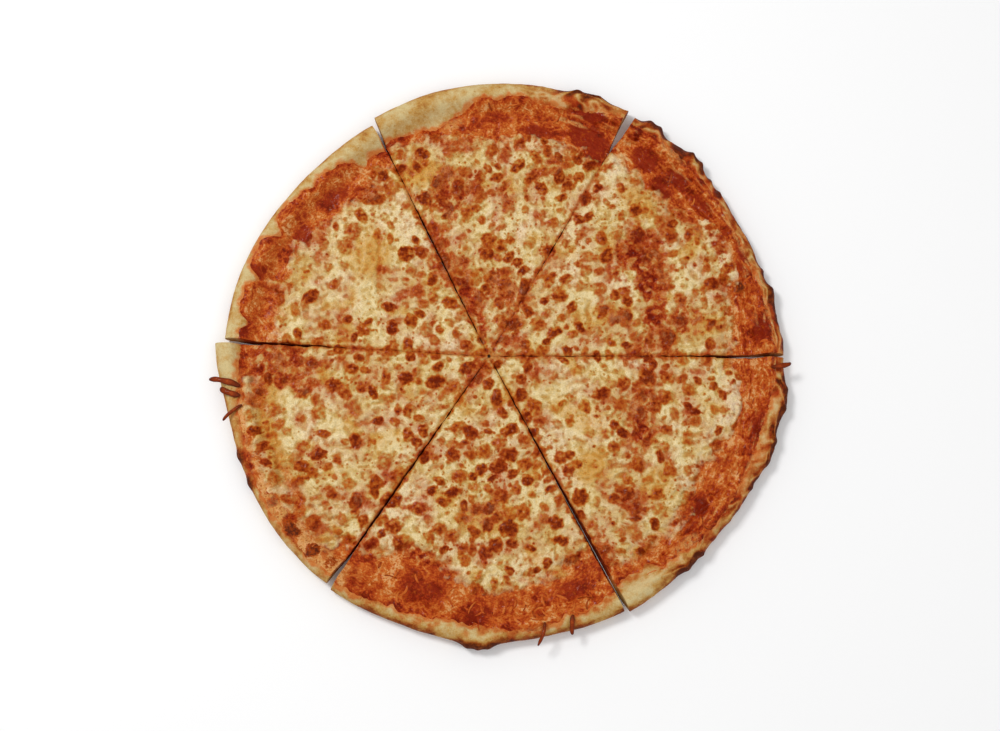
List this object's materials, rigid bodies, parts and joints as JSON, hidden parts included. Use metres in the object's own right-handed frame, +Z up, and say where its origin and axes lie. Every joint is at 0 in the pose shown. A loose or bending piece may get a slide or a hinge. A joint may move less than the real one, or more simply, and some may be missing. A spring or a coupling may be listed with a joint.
{
  "type": "cheese pizza cut in six slices",
  "caption": "Round cheese pizza on a thin crust with a raised browned rim, cut into wedge slices that lie together.",
  "frame": {"origin": "centre of the base, on the surface that the pizza lies on", "axes": "+Z up out of the cheese, +X to the right and +Y to the top of the pizza as the picture shows it from above"},
  "size_m": [0.3078, 0.3062, 0.0151],
  "materials": {
    "baked_dough": "matte",
    "tomato_sauce": "satin",
    "melted_cheese": "satin",
    "browned_cheese": "satin"
  },
  "bodies": {
    "root": {"dough_top": "baked_dough", "dough_upper_right": "baked_dough", "dough_lower_right": "baked_dough", "dough_bottom": "baked_dough", "dough_lower_left": "baked_dough", "dough_upper_left": "baked_dough", "sauce_top": "tomato_sauce", "sauce_upper_right": "tomato_sauce", "sauce_lower_right": "tomato_sauce", "sauce_bottom": "tomato_sauce", "sauce_lower_left": "tomato_sauce", "sauce_upper_left": "tomato_sauce", "cheese_top": "melted_cheese", "cheese_upper_right": "melted_cheese", "cheese_lower_right": "melted_cheese", "cheese_bottom": "melted_cheese", "cheese_lower_left": "melted_cheese", "cheese_upper_left": "melted_cheese", "strand_left_long": "browned_cheese", "strand_left_thick": "browned_cheese", "strand_left_thin": "browned_cheese", "strand_bottom_thin": "browned_cheese", "strand_bottom_stub": "browned_cheese", "strand_right_stub": "browned_cheese"}
  },
  "joints": []
}
